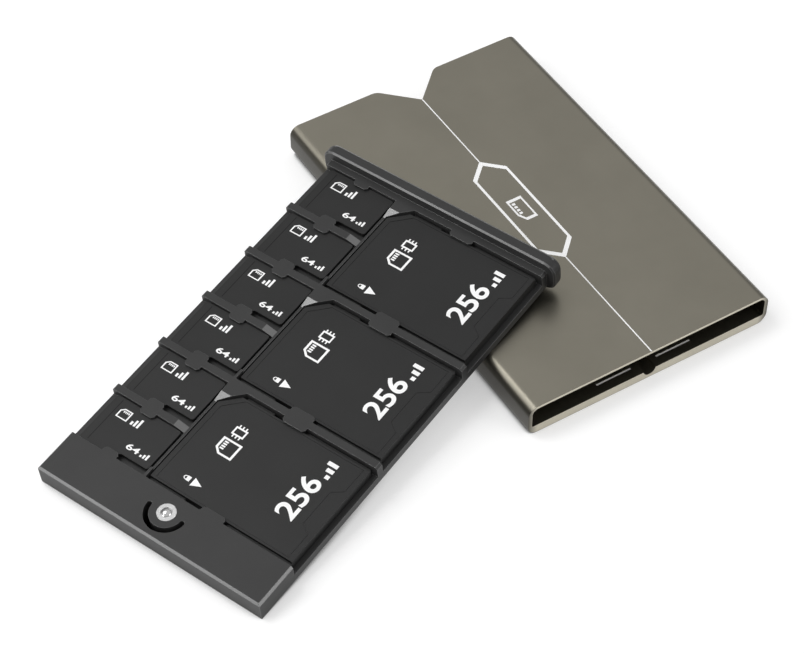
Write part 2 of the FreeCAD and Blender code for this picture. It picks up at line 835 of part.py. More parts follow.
def lean():
    """How the tray lies: its near end on the table, its right side on the edge of the sleeve's flat top.

    Going along its right side, the tray has climbed the height of the sleeve where the flat top begins.
    """
    turn = math.radians(size("lean_turn_degrees"))
    ahead = FreeCAD.Vector(math.sin(turn), math.cos(turn), 0)
    aside = FreeCAD.Vector(math.cos(turn), -math.sin(turn), 0)
    length = size("body_length")
    corner = FreeCAD.Vector(
        -size("sleeve_half") + size("lean_overlap") - length * ahead.x,
        size("sleeve_end") - size("lean_from_notch") - length * ahead.y,
        size("lean_gap"))
    flat = size("edge_radius") - size("sleeve_half")
    reach = (flat - corner.x - size("tray_width") * aside.x) / ahead.x
    climb = math.atan2(size("sleeve_height"), reach)
    along = ahead * math.cos(climb) + Z_AXIS * math.sin(climb)
    return FreeCAD.Placement(corner, FreeCAD.Rotation(aside, along, aside.cross(along), "XYZ"))


def shifted(pose, x, y, z):
    """A place in the tray, given in the tray's own frame."""
    return pose.multiply(FreeCAD.Placement(FreeCAD.Vector(size(x), size(y), size(z)), FreeCAD.Rotation()))


def make_pieces():
    """Every piece, and where it lies."""
    pose = lean()
    pieces = [(make_sleeve(), FreeCAD.Placement())]
    for thing in (make_tray(), make_cup(), make_spring(), make_ball()):
        pieces.append((thing, pose))
    for number in range(LARGE_COUNT):
        place = shifted(pose, "large_start", rib_far(2 * number) + " + large_gap", "large_base")
        for thing in make_large_card("large_card_%d" % (number + 1)):
            pieces.append((thing, place))
    for number in range(SMALL_COUNT):
        place = shifted(pose, "small_rim", rib_far(number) + " + small_gap", "small_base")
        for thing in make_small_card("small_card_%d" % (number + 1)):
            pieces.append((thing, place))
    return pieces


def check(pieces):
    """Stops unless every object was worked out and every piece is a sound shape."""
    for thing in doc.Objects:
        if {"Invalid", "Error"} & set(thing.State):
            raise RuntimeError("%s failed" % thing.Name)
    for thing in pieces:
        if thing.Shape.isNull() or not thing.Shape.isValid() or not thing.Shape.Solids:
            raise RuntimeError("%s has no sound shape" % thing.Label)


def main():
    placed = make_pieces()
    doc.recompute()
    for thing, place in placed:
        thing.Placement = place
    doc.recompute()
    pieces = [thing for thing, place in placed]
    check(pieces)
    os.makedirs("parts", exist_ok=True)
    for thing in pieces:
        thing.Shape.exportStep("parts/%s.step" % thing.Label)
        print("%-28s %d solids %10.3f mm3" % (thing.Label, len(thing.Shape.Solids), thing.Shape.Volume))


main()
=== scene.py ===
# %% [markdown]
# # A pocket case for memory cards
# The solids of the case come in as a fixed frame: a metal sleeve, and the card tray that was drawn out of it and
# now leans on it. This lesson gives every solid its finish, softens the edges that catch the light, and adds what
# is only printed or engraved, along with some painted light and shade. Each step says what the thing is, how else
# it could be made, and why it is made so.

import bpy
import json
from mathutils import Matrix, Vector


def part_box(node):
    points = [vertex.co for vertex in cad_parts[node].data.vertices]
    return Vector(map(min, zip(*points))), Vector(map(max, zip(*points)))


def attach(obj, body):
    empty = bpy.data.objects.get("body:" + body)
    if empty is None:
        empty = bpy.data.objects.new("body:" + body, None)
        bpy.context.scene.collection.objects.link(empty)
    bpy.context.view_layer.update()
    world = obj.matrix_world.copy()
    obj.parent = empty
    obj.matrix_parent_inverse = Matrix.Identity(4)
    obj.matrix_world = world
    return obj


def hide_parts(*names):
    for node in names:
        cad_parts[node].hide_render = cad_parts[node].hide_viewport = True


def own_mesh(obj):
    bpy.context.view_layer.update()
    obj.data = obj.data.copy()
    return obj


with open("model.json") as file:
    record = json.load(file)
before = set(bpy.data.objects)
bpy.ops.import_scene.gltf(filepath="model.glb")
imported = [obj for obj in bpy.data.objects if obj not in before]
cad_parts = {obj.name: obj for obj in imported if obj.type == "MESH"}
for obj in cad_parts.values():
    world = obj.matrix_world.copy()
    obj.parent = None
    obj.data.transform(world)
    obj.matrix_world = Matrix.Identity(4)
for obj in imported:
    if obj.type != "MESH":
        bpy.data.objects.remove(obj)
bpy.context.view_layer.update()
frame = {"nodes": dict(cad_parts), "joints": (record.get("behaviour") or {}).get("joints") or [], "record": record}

import json
import math

import bmesh
import bpy
import numpy as np
from mathutils import Matrix

MM = 0.001

# %% [markdown]
# ## Camera
# The view was worked out from about a hundred points of the object whose places are known, so the camera is
# set from numbers instead of by eye. A long lens from half a metre away gives the photograph's weak
# perspective.

# %% Objects in the scene
scene = bpy.context.scene


def linked(name, data):
    """A new object of the scene that shows some data: a mesh, a lamp, a camera or a text."""
    thing = bpy.data.objects.new(name, data)
    scene.collection.objects.link(thing)
    return thing


def aim(thing, axes, place):
    """Turn and move a camera or lamp: the columns of its matrix are right, up, back and its place."""
    pose = np.eye(4)
    pose[:3, :3] = np.asarray(axes).T
    pose[:3, 3] = place
    thing.matrix_world = Matrix(pose.tolist())


# %% Camera
IMAGE_WIDTH = 804
FOCUS_PIXELS = 2401.3
SENSOR = 36.0
AZIMUTH, ELEVATION, ROLL = np.radians([-31.482, 48.256, -0.176])
TARGET = np.array([-32.71, -8.533, 0.0]) * MM
DISTANCE = 457.37 * MM
NEAREST = 10 * MM


def view_axes():
    """Right, up and back of the camera: back from azimuth and elevation, then a small roll of the others."""
    back = np.array([math.sin(AZIMUTH) * math.cos(ELEVATION), -math.cos(AZIMUTH) * math.cos(ELEVATION),
                     math.sin(ELEVATION)])
    right = np.array([math.cos(AZIMUTH), math.sin(AZIMUTH), 0.0])
    up = np.cross(back, right)
    turn = np.array([[math.cos(ROLL), math.sin(ROLL)], [-math.sin(ROLL), math.cos(ROLL)]])
    right, up = turn @ np.array([right, up])
    return np.array([right, up, back])


lens = bpy.data.cameras.new("camera")
lens.sensor_fit = "HORIZONTAL"
lens.sensor_width = SENSOR
lens.lens = FOCUS_PIXELS / IMAGE_WIDTH * SENSOR
lens.clip_start = NEAREST
camera = linked("camera", lens)
axes = view_axes()
aim(camera, axes, TARGET + axes[2] * DISTANCE)
scene.camera = camera
scene.view_settings.view_transform = "Standard"
print("camera lens %.1f mm, %.0f mm away" % (lens.lens, DISTANCE / MM))

# %% [markdown]
# ## The table
# The case lies on a white table top. More light would whiten the table, but would bleach the case with it. So the
# table has a pale colour and some light of its own, which only the camera and reflections see: the case keeps its
# tones, and the shadow stays. In a low gap, such as the one under the tray, that light would shine up through the
# slots. Ambient Occlusion measures the open share of the sky above a point. Where little is open, the table's own
# light goes out and its colour goes dark: a painted shade in the gaps and at the foot of the case.

# %% Shader nodes
def feed(tree, node, inputs):
    """Give a node its inputs: a link where the value is another node's output, else a fixed value."""
    for key, value in inputs.items():
        if isinstance(value, bpy.types.NodeSocket):
            tree.links.new(value, node.inputs[key])
        else:
            node.inputs[key].default_value = value


def add_node(tree, kind, inputs, operation=None):
    """A new shader node of a kind, with its operation chosen and its inputs fed."""
    node = tree.nodes.new("ShaderNode" + kind)
    if operation:
        node.operation = operation
    feed(tree, node, inputs)
    return node


# %% Table top
FLOOR_HALF = 2.5
FLOOR_DROP = 0.02 * MM


def sheet_grid(name, half, height):
    """A flat square: x and y run over a two by two grid, z is constant."""
    x, y = np.meshgrid([-half, half], [-half, half], indexing="ij")
    points = np.stack([x, y, np.full_like(x, height)], -1).reshape(-1, 3)
    mesh = bpy.data.meshes.new(name)
    mesh.from_pydata(points.tolist(), [], [(0, 2, 3, 1)])
    return linked(name, mesh)


floor = sheet_grid("floor", FLOOR_HALF, -FLOOR_DROP)
print("table %.1f m wide" % (2 * FLOOR_HALF))

# %% Table finish
FLOOR_TONE, FLOOR_ROUGHNESS, FLOOR_LIFT = 0.64, 0.9, 0.45
UNDER_GAP = 6.0 * MM
CLOSED_SHARE, OPEN_SHARE = 0.26, 0.55
SKY_SAMPLES = 16
WHITE = (1, 1, 1, 1)
table = bpy.data.materials.new("white_table")
table.use_nodes = True
tree = table.node_tree
rays = add_node(tree, "LightPath", {}).outputs
seen = add_node(tree, "Math", {0: rays["Is Camera Ray"], 1: rays["Is Glossy Ray"]}, "ADD")
seen_all = add_node(tree, "Math", {0: seen.outputs["Value"], 1: rays["Is Transmission Ray"]}, "ADD")
seen_all.use_clamp = True
sky = add_node(tree, "AmbientOcclusion", {"Distance": UNDER_GAP})
sky.samples = SKY_SAMPLES
unclosed = add_node(tree, "MapRange", {
    "Value": sky.outputs["AO"], "From Min": CLOSED_SHARE, "From Max": OPEN_SHARE,
}).outputs["Result"]
# The table's colour is scaled by the open share: painted shade in low gaps.
tone = add_node(tree, "VectorMath", {0: (FLOOR_TONE, FLOOR_TONE, FLOOR_TONE), "Scale": unclosed}, "SCALE")
seen_open = add_node(tree, "Math", {0: seen_all.outputs["Value"], 1: unclosed}, "MULTIPLY")
lift = add_node(tree, "Math", {0: seen_open.outputs["Value"], 1: FLOOR_LIFT}, "MULTIPLY")
feed(tree, tree.nodes["Principled BSDF"], {
    "Base Color": tone.outputs["Vector"], "Roughness": FLOOR_ROUGHNESS, "Specular IOR Level": 0.0,
    "Emission Color": WHITE, "Emission Strength": lift.outputs["Value"],
})
floor.data.materials.append(table)
print("table tone %.2f, dark in gaps under %.0f mm" % (FLOOR_TONE, UNDER_GAP / MM))

# %% [markdown]
# ## Light
# An even world alone would give no shadow and flat metal, so the world fades towards the horizon, and a large
# soft box from the left throws the tray's shadow onto the sleeve. Three smaller boxes stand where the narrow
# edges mirror them: low on the left for the near edges of the tray, in front for its right edge and the
# sleeve's mouth, and overhead for the ramps between the cards.

# %% World
WORLD_LOW, WORLD_HIGH, WORLD_FADE = 0.16, 0.60, 0.6
world = bpy.data.worlds.new("studio")
world.use_nodes = True
tree = world.node_tree
ray = add_node(tree, "TexCoord", {})
rise = add_node(tree, "SeparateXYZ", {"Vector": ray.outputs["Generated"]})
fade = add_node(tree, "MapRange", {
    "Value": rise.outputs["Z"], "From Min": 0.0, "From Max": WORLD_FADE, "To Min": WORLD_LOW,
    "To Max": WORLD_HIGH,
})
feed(tree, tree.nodes["Background"], {"Color": WHITE, "Strength": fade.outputs["Result"]})
scene.world = world
print("world from", WORLD_LOW, "to", WORLD_HIGH)

# %% Soft boxes
LAMP_TARGET = np.array([-0.03, 0.0, 0.0])
# Place, width and height in metres, and power in watts.
LAMPS = {
    "left_box": ((-0.56, 0.36, 0.72), (0.65, 0.75), 3.9),
    "low_box": ((-0.90, 0.06, 0.28), (0.26, 0.36), 1.1),
    "front_box": ((0.50, -0.70, 0.43), (0.5, 0.22), 1.4),
    "top_box": ((-0.24, 0.32, 0.88), (0.26, 0.26), 1.0),
}


def soft_box(name, place, size, power):
    """A rectangular lamp turned to the case: back runs from the case to the lamp, and right lies level."""
    lamp = bpy.data.lights.new(name, "AREA")
    lamp.shape = "RECTANGLE"
    lamp.size, lamp.size_y = size
    lamp.energy = power
    back = np.array(place) - LAMP_TARGET
    back = back / np.linalg.norm(back)
    right = np.cross([0.0, 0.0, 1.0], back)
    right = right / np.linalg.norm(right)
    aim(linked(name, lamp), [right, np.cross(back, right), back], place)


for name, (place, size, power) in LAMPS.items():
    soft_box(name, place, size, power)
print(len(LAMPS), "lamps")

# %% [markdown]
# ## The tray's own axes
# The tray leans, so prints on its cards can't be placed along X and Y. Typing its angles in again would break
# as soon as the frame changes. The slide of a card points across the tray and the press of the ball catch
# stands square to it, so the joints give the axes, and the vertices of a node give where it is along them.

# %% Tray axes
joint_axis = {joint["name"]: np.array(joint["axis"], float) for joint in frame["joints"]}
across = joint_axis["large_card_1_slide"]
normal = joint_axis["catch_press"]
TRAY = np.array([across, np.cross(normal, across), normal])


def read_rows(items, name, width, kind=float):
    """One property of all vertices, edges, faces or corners of a mesh, as an array with a row for each."""
    flat = np.empty(width * len(items), dtype=kind)
    items.foreach_get(name, flat)
    return flat.reshape(-1, width)


def vertices(mesh):
    """All vertices of a mesh as one array of rows."""
    return read_rows(mesh.vertices, "co", 3)


def tray_box(node):
    """Lowest and highest value of a node along the three axes of the tray."""
    points = vertices(frame["nodes"][node].data) @ TRAY.T
    return points.min(0), points.max(0)


low, high = tray_box("tray_frame")
print("tray %.2f x %.2f x %.2f mm" % tuple((high - low) / MM))

# %% [markdown]
# ## Finishes
# Every finish is a small network on the piece's own coordinates: a cloudy noise varies the colour, and a fine
# one varies the roughness and lifts the surface a little. Image textures could do the same, but noise holds
# at any zoom and needs no unwrapping. Values that are the same all over are set straight on the shader.

# %% Finish helper
CLOUD_SCALE, CLOUD_DETAIL, GRAIN_DETAIL = 90.0, 4.0, 2.0
DARK_END, LIGHT_END = 0.3, 0.7


def finish(name, dark, light, rough, grain, relief, metal=0.0, specular=0.5):
    """A material: colour between dark and light by a cloudy noise, roughness and bump by a fine noise.

    rough is the lowest and highest roughness, grain the size of the fine noise in metres, relief its height.
    """
    material = bpy.data.materials.new(name)
    material.use_nodes = True
    tree = material.node_tree
    place = add_node(tree, "TexCoord", {}).outputs["Object"]
    clouds = add_node(tree, "TexNoise", {"Vector": place, "Scale": CLOUD_SCALE, "Detail": CLOUD_DETAIL})
    tint = add_node(tree, "ValToRGB", {"Fac": clouds.outputs["Fac"]})
    for stop, position, colour in zip(tint.color_ramp.elements, (DARK_END, LIGHT_END), (dark, light)):
        stop.position = position
        stop.color = (*colour, 1)
    fine = add_node(tree, "TexNoise", {"Vector": place, "Scale": 1.0 / grain, "Detail": GRAIN_DETAIL})
    grains = fine.outputs["Fac"]
    spread = add_node(tree, "MapRange", {"Value": grains, "To Min": rough[0], "To Max": rough[1]})
    bump = add_node(tree, "Bump", {"Height": grains, "Strength": 1.0, "Distance": relief})
    feed(tree, tree.nodes["Principled BSDF"], {
        "Base Color": tint.outputs["Color"], "Roughness": spread.outputs["Result"],
        "Normal": bump.outputs["Normal"], "Metallic": metal, "Specular IOR Level": specular,
    })
    return material


def grey(level):
    """An even grey: red, green and blue at one level."""
    return (level, level, level)


# %% Finishes of the sleeve and the tray
satin_aluminium = finish("satin_aluminium", (0.30, 0.282, 0.232), (0.325, 0.305, 0.252), (0.30, 0.40),
                         0.12 * MM, 0.0006 * MM, metal=1.0)
tray_moulding = finish("tray_moulding", grey(0.035), grey(0.040), (0.36, 0.46), 0.15 * MM, 0.0015 * MM,
                       specular=0.25)
# A lighter grey than the moulding, for bevels and ramps: a painted highlight.
tray_painted_highlight = finish("tray_painted_highlight", grey(0.115), grey(0.135), (0.22, 0.30), 0.15 * MM, 0.0008 * MM,
                   specular=0.7)
turned_steel = finish("turned_steel", grey(0.48), grey(0.55), (0.30, 0.40), 0.1 * MM, 0.0005 * MM,
                      metal=1.0)
polished_steel = finish("polished_steel", grey(0.72), grey(0.78), (0.06, 0.1), 0.3 * MM, 0.0001 * MM,
                        metal=1.0)
print("satin metal, moulding and its edges, steel and polished steel")

# %% Finishes of the cards
card_shell = finish("card_shell", grey(0.012), grey(0.015), (0.42, 0.52), 0.12 * MM, 0.001 * MM,
                    specular=0.35)
card_sheet = finish("card_sheet", grey(0.012), grey(0.015), (0.40, 0.50), 0.2 * MM, 0.0005 * MM,
                    specular=0.35)
lock_moulding = finish("lock_moulding", grey(0.014), grey(0.018), (0.5, 0.6), 0.12 * MM, 0.0015 * MM)
solder_mask = finish("solder_mask", (0.008, 0.09, 0.03), (0.012, 0.12, 0.045), (0.25, 0.35),
                     0.3 * MM, 0.001 * MM)
gold_plate = finish("gold_plate", (0.72, 0.47, 0.15), (0.8, 0.55, 0.2), (0.22, 0.34),
                    0.1 * MM, 0.0004 * MM, metal=1.0)
print("shell, sheet, lock, solder mask and gold")

# %% Finishes on the solids
SLOT_FINISH = {
    "sleeve_metal": satin_aluminium, "tray_plastic": tray_moulding, "steel": turned_steel,
    "ball_steel": polished_steel, "card_plastic": card_shell, "card_label": card_sheet,
    "lock_plastic": lock_moulding, "board_green": solder_mask, "contact_metal": gold_plate,
}
node_slot = {part["node"]: part["material_slot"] for part in frame["record"]["subparts"]}
for node, thing in frame["nodes"].items():
    thing.data.materials.clear()
    thing.data.materials.append(SLOT_FINISH[node_slot[node]])
print(len(node_slot), "solids have", len(SLOT_FINISH), "finishes")

# %% [markdown]
# ## Sides and ends of the sleeve
# The flat plates of the tube are satin. Its rounded long edges and narrow sides are darkened: a painted shade. Its
# cut ends are bare metal, and they are brightened further: a painted highlight. Sides and ends could be faces with
# materials of their own, but then the rounded edge would show a seam. The place across the tube and the piece's
# own normal fade one tone into the other instead.

# %% Tones of the sleeve
SIDE_PAINTED_SHADE, END_PAINTED_HIGHLIGHT = 0.18, 1.8
# The sides' painted shade comes in over a stretch measured from outside, the ends' painted highlight as the normal
# turns along the tube.
SIDE_START, SIDE_FULL = 2.0 * MM, 0.15 * MM
END_START, END_FULL = 0.55, 0.85
half_width = np.abs(vertices(frame["nodes"]["sleeve_shell"].data)[:, 0]).max()
tree = satin_aluminium.node_tree
base_colour = tree.nodes["Principled BSDF"].inputs["Base Color"]
toned = base_colour.links[0].from_socket
place = add_node(tree, "TexCoord", {})
# The satin colour is scaled twice: by the painted shade across the tube, and by the painted highlight along it.
for source, axis, first, last, level in (
    ("Object", "X", half_width - SIDE_START, half_width - SIDE_FULL, SIDE_PAINTED_SHADE),
    ("Normal", "Y", END_START, END_FULL, END_PAINTED_HIGHLIGHT),
):
    parts = add_node(tree, "SeparateXYZ", {"Vector": place.outputs[source]})
    size = add_node(tree, "Math", {0: parts.outputs[axis]}, "ABSOLUTE")
    tone = add_node(tree, "MapRange", {
        "Value": size.outputs["Value"], "From Min": first, "From Max": last, "To Min": 1.0, "To Max": level,
    })
    scaled = add_node(tree, "VectorMath", {0: toned, "Scale": tone.outputs["Result"]}, "SCALE")
    toned = scaled.outputs["Vector"]
tree.links.new(toned, base_colour)
print("sides of the sleeve at %.2f, its ends at %.2f of its tone" % (SIDE_PAINTED_SHADE, END_PAINTED_HIGHLIGHT))

# %% [markdown]
# ## Softened edges
# Solids from a CAD program end in perfectly sharp edges, and a real moulding or extrusion never does: a tiny
# rounding catches the light as a bright line. The solid itself stays untouched. A copy gets its doubled corners
# merged and its flat triangles joined, and a narrow Bevel on the sharp edges only. On the tray, the faces of that
# Bevel, the chamfers at its ends and the ramps between the cards get a lighter grey: a painted highlight.

# %% Merged copies
MERGE_STEP = 0.0005 * MM
FLAT_ANGLE = math.radians(0.6)


def merged_copy(node, name):
    """A node's mesh with equal corners made one point, and coplanar triangles made one face.

    Corners are equal where they round to the same step. A triangle that loses a corner so is left out.
    """
    source = frame["nodes"][node].data
    points = vertices(source)
    corners = read_rows(source.loops, "vertex_index", 1, np.int64)[:, 0]
    keys, index = np.unique(np.round(points / MERGE_STEP).astype(np.int64), axis=0, return_inverse=True)
    merged = np.empty((len(keys), 3))
    merged[index.reshape(-1)] = points
    faces = index.reshape(-1)[corners].reshape(-1, 3)
    ends = np.sort(faces, 1)
    faces = faces[(ends[:, 0] != ends[:, 1]) & (ends[:, 1] != ends[:, 2])]
    mesh = bpy.data.meshes.new(name)
    mesh.from_pydata(merged.tolist(), [], faces.tolist())
    work = bmesh.new()
    work.from_mesh(mesh)
    bmesh.ops.dissolve_limit(work, angle_limit=FLAT_ANGLE, verts=work.verts, edges=work.edges)
    work.to_mesh(mesh)
    work.free()
    return mesh


# %% Edges and faces of the tray
BEVEL_LEAN, RAMP_LEAN, FLAT_LEAN = 0.35, 0.93, 0.99
ROUND_END = 0.35
pocket_start = tray_box("small_card_1_body")[0][1]
pocket_end = tray_box("small_card_6_body")[1][1]


def sharp_edges(mesh, angle):
    """Mark the edges whose faces meet at more than an angle as sharp, and say which are, as truth values."""
    mesh.set_sharp_from_angle(angle=angle)
    return read_rows(mesh.attributes["sharp_edge"].data, "value", 1, bool)[:, 0]


def in_pockets(mesh):
    """Which edges have their middle between the end block and the flange, where all faces are flat."""
    ends = read_rows(mesh.edges, "vertices", 2, np.int64)
    middles = vertices(mesh)[ends].mean(1) @ TRAY[1]
    return (middles > pocket_start) & (middles < pocket_end)


def tilted(mesh):
    """Which faces of the tray get the painted highlight: narrow bevels, outside the pockets, or the gentle ramps
    inside them.

    lean is how much of a face's normal points along the tray's: least on a bevel, more on a ramp, all on a
    flat face. The rounded ends of the flange lean sideways and don't count.
    """
    normals = read_rows(mesh.polygons, "normal", 3) @ TRAY.T
    along = read_rows(mesh.polygons, "center", 3) @ TRAY[1]
    lean = normals[:, 2]
    at_block = along < pocket_start
    at_flange = along > pocket_end
    outside = at_block | (at_flange & (np.abs(normals[:, 0]) < ROUND_END))
    bevels = (lean > BEVEL_LEAN) & (lean < RAMP_LEAN) & outside
    ramps = (lean > RAMP_LEAN) & (lean < FLAT_LEAN) & ~at_block & ~at_flange
    return bevels | ramps


print("pockets from %.1f to %.1f mm along the tray" % (pocket_start / MM, pocket_end / MM))

# %% Soft copies
FACET_ANGLE = math.radians(8)
SMOOTH_ANGLE = math.radians(32)
EDGE_WIDTH, EDGE_STEPS = 0.10 * MM, 2


def stand_for(thing, node, body):
    """Let a piece take a node's place: the node is hidden, and the piece is put on a body."""
    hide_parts(node)
    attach(thing, body)


def soft_copy(node, name, body, facets=None, edge=None):
    """A merged copy of a node, smooth up to its sharp edges, which a narrow bevel rounds.

    facets picks the edges that stay creased at a small angle too, and edge is a lighter finish, a painted
    highlight, for the bevel's faces and the faces that tilted picks.
    """
    mesh = merged_copy(node, name)
    mesh.shade_smooth()
    creased = sharp_edges(mesh, FACET_ANGLE)
    sharp = sharp_edges(mesh, SMOOTH_ANGLE)
    if facets is not None:
        mesh.attributes["sharp_edge"].data.foreach_set("value", sharp | (creased & facets(mesh)))
    mesh.materials.append(SLOT_FINISH[node_slot[node]])
    thing = linked(name, mesh)
    bevel = thing.modifiers.new("edge", "BEVEL")
    bevel.limit_method = "ANGLE"
    bevel.angle_limit = SMOOTH_ANGLE
    bevel.width = EDGE_WIDTH
    bevel.segments = EDGE_STEPS
    bevel.harden_normals = True
    if edge is not None:
        mesh.materials.append(edge)
        mesh.polygons.foreach_set("material_index", tilted(mesh).astype(np.int32))
        bevel.material = 1
    stand_for(thing, node, body)
    print(name, len(mesh.polygons), "faces")


soft_copy("sleeve_shell", "sleeve", "sleeve")
soft_copy("tray_frame", "tray", "tray", in_pockets, tray_painted_highlight)

# %% [markdown]
# ## The ball catch
# A turned collar, a polished ball and the coil under it are round, and their solids show flat facets from near. A
# modifier could smooth them, but would also shrink them. Rings of points from a formula keep the true sizes. The
# coil stands between the ball and the floor of the collar.

# %% Rings
SAME_DIGITS = 7
cup_points = np.round(vertices(frame["nodes"]["catch_cup"].data) @ TRAY.T, SAME_DIGITS)
catch_axis = np.unique(cup_points, axis=0)[:, :2].mean(0)


def ring_piece(name, rings, node, body):
    """Rings in mm joined into one closed skin with two end caps, on the axis of the catch, for a node."""
    count, steps = rings.shape[:2]
    start = np.arange(count - 1)[:, None] * steps
    here = np.arange(steps)[None]
    there = (here + 1) % steps
    sides = np.stack([start + here, start + there, start + steps + there, start + steps + here], -1)
    last = np.arange((count - 1) * steps, count * steps)
    caps = [np.arange(steps)[::-1].tolist(), last.tolist()]
    base = np.append(catch_axis, tray_box(node)[0][2])
    points = (rings.reshape(-1, 3) * MM + base) @ TRAY
    mesh = bpy.data.meshes.new(name)
    mesh.from_pydata(points.tolist(), [], sides.reshape(-1, 4).tolist() + caps)
    mesh.shade_smooth()
    mesh.set_sharp_from_angle(angle=SMOOTH_ANGLE)
    mesh.materials.append(SLOT_FINISH[node_slot[node]])
    thing = linked(name, mesh)
    stand_for(thing, node, body)
    return thing


print("axis of the catch at %.2f, %.2f mm across and along the tray" % tuple(catch_axis / MM))

# %% Collar and ball
# Sizes in mm.
CUP_RADIUS, CUP_WALL, CUP_FLOOR, CUP_LIP, CUP_MOUTH, CUP_EDGE = 1.85, 0.5, 0.4, 0.15, 1.0, 0.06
BALL_RADIUS = 1.2
ROUND_STEPS, RISE_STEP = 64, 5


def turned_rings(profile):
    """Points of a profile (r, z) turned about Z: x = r cos t, y = r sin t, with t in equal steps."""
    profile = np.asarray(profile, float)
    angle = np.arange(ROUND_STEPS) * 2 * np.pi / ROUND_STEPS
    ring = np.stack([np.cos(angle), np.sin(angle)], 1)
    height = np.broadcast_to(profile[:, None, 1:], (len(profile), ROUND_STEPS, 1))
    return np.concatenate([profile[:, None, :1] * ring, height], 2)


low, high = tray_box("catch_cup")
top = (high - low)[2] / MM
bore = CUP_RADIUS - CUP_WALL
collar_profile = [
    (CUP_RADIUS, 0), (CUP_RADIUS, top - CUP_EDGE), (CUP_RADIUS - CUP_EDGE, top), (CUP_MOUTH + CUP_EDGE, top),
    (CUP_MOUTH, top - CUP_EDGE), (CUP_MOUTH, top - CUP_LIP), (bore, top - CUP_LIP), (bore, CUP_FLOOR),
]
ring_piece("collar", turned_rings(collar_profile), "catch_cup", "tray")
rise = np.radians(np.arange(RISE_STEP / 2 - 90, 90, RISE_STEP))
meridian = BALL_RADIUS * np.stack([np.cos(rise), 1 + np.sin(rise)], 1)
ring_piece("ball", turned_rings(meridian), "catch_ball", "catch_ball")
print("collar %.2f mm high, ball %.1f mm across" % (top, 2 * BALL_RADIUS))

# %% Coil
# Sizes in mm.
COIL_RADIUS, WIRE_RADIUS, PRESS_ROOM = 0.85, 0.11, 0.5
TURNS, COIL_STEPS, WIRE_STEPS = 4, 32, 12


def coil_rings(radius, wire, height, turns):
    """Rings of a tube on a helix, whose centre line is (R cos a, R sin a, wire + h a / A), with A the last a.

    A ring's points lie at wire (cos q out + sin q side) from the line: out points away from the axis, and
    side stands square to out and to the way of the line.
    """
    angle = np.linspace(0, 2 * np.pi * turns, turns * COIL_STEPS + 1)
    outward = np.stack([np.cos(angle), np.sin(angle), 0 * angle], 1)
    centre = radius * outward + np.stack([0 * angle, 0 * angle, wire + height * angle / angle[-1]], 1)
    climb = np.full_like(angle, height / (radius * angle[-1]))
    ahead = np.stack([-np.sin(angle), np.cos(angle), climb], 1)
    ahead = ahead / np.linalg.norm(ahead, axis=1, keepdims=True)
    side = np.cross(ahead, outward)
    turn = np.arange(WIRE_STEPS) * 2 * np.pi / WIRE_STEPS
    return (centre[:, None] + wire * np.cos(turn)[:, None] * outward[:, None]
            + wire * np.sin(turn)[:, None] * side[:, None])


low, high = tray_box("catch_spring")
length = (high - low)[2] / MM
helix = coil_rings(COIL_RADIUS, WIRE_RADIUS, length - 2 * WIRE_RADIUS, TURNS)
coil = ring_piece("coil", helix, "catch_spring", "tray")
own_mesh(coil)
print("a coil of %.2f mm that gives %.1f mm" % (length, PRESS_ROOM))

# %% [markdown]
# ## Lines and prints
# What is white on the case is ink: engraved and filled lines on the sleeve, and prints on the cards. The exception
# is the two white marks inside the mouth, which are a painted reflection. Each is a very thin layer, so it is a
# flat mesh that floats a hundredth of a millimetre over what carries it. A stroke is a path with a width: at each
# corner both sides move out along the bisector, so the corners stay sharp.

# %% Strokes
def stroke(path, width, closed=False):
    """Left and right side of a path: each corner moves half the width along the bisector of its two edges."""
    path = np.asarray(path, float)
    ahead = np.roll(path, -1, 0) - path
    if not closed:
        ahead[-1] = ahead[-2]
    ahead = ahead / np.linalg.norm(ahead, axis=1, keepdims=True)
    behind = np.roll(ahead, 1, 0)
    if not closed:
        behind[0] = ahead[0]
    left_ahead = np.stack([-ahead[:, 1], ahead[:, 0]], 1)
    left_behind = np.stack([-behind[:, 1], behind[:, 0]], 1)
    bisector = (left_ahead + left_behind) / (1 + (left_ahead * left_behind).sum(1, keepdims=True))
    half = width / 2
    sides = np.concatenate([path + bisector * half, path - bisector * half])
    count = len(path)
    start = np.arange(count if closed else count - 1)
    after = (start + 1) % count
    return sides, np.stack([start, start + count, after + count, after], 1).tolist()


# %% Flat shapes
def patch(points):
    """A filled polygon."""
    return np.asarray(points, float), [tuple(range(len(points)))]


def joined(parts):
    """Several flat shapes as one: the later ones' faces count on from the earlier ones' points."""
    points = np.concatenate([part[0] for part in parts])
    starts = np.cumsum([0] + [len(part[0]) for part in parts[:-1]])
    faces = [tuple(np.array(face) + start) for part, start in zip(parts, starts) for face in part[1]]
    return points, faces


def fitted(shape, corner, right, up):
    """A shape drawn in the unit square, carried to corner + x right + y up."""
    points, faces = shape
    return points[:, :1] * np.asarray(right, float) + points[:, 1:] * np.asarray(up, float) + corner, faces


# %% Ink layers
LAYER = 0.012 * MM
white_ink = finish("white_ink", grey(0.90), grey(0.96), (0.5, 0.6), 0.08 * MM, 0.0004 * MM)


def ink(name, shape, axes, height, body, fill=white_ink):
    """A flat shape in mm of two axes, lifted to a height along the third, as a thin layer on a body."""
    points, faces = shape
    level = np.full((len(points), 1), height + LAYER)
    mesh = bpy.data.meshes.new(name)
    mesh.from_pydata((np.hstack([points * MM, level]) @ axes).tolist(), [], faces)
    work = bmesh.new()
    work.from_mesh(mesh)
    bmesh.ops.recalc_face_normals(work, faces=work.faces)
    turned = [face for face in work.faces if face.normal.dot(axes[2]) < 0]
    bmesh.ops.reverse_faces(work, faces=turned)
    work.to_mesh(mesh)
    work.free()
    mesh.materials.append(fill)
    thing = linked(name, mesh)
    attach(thing, body)


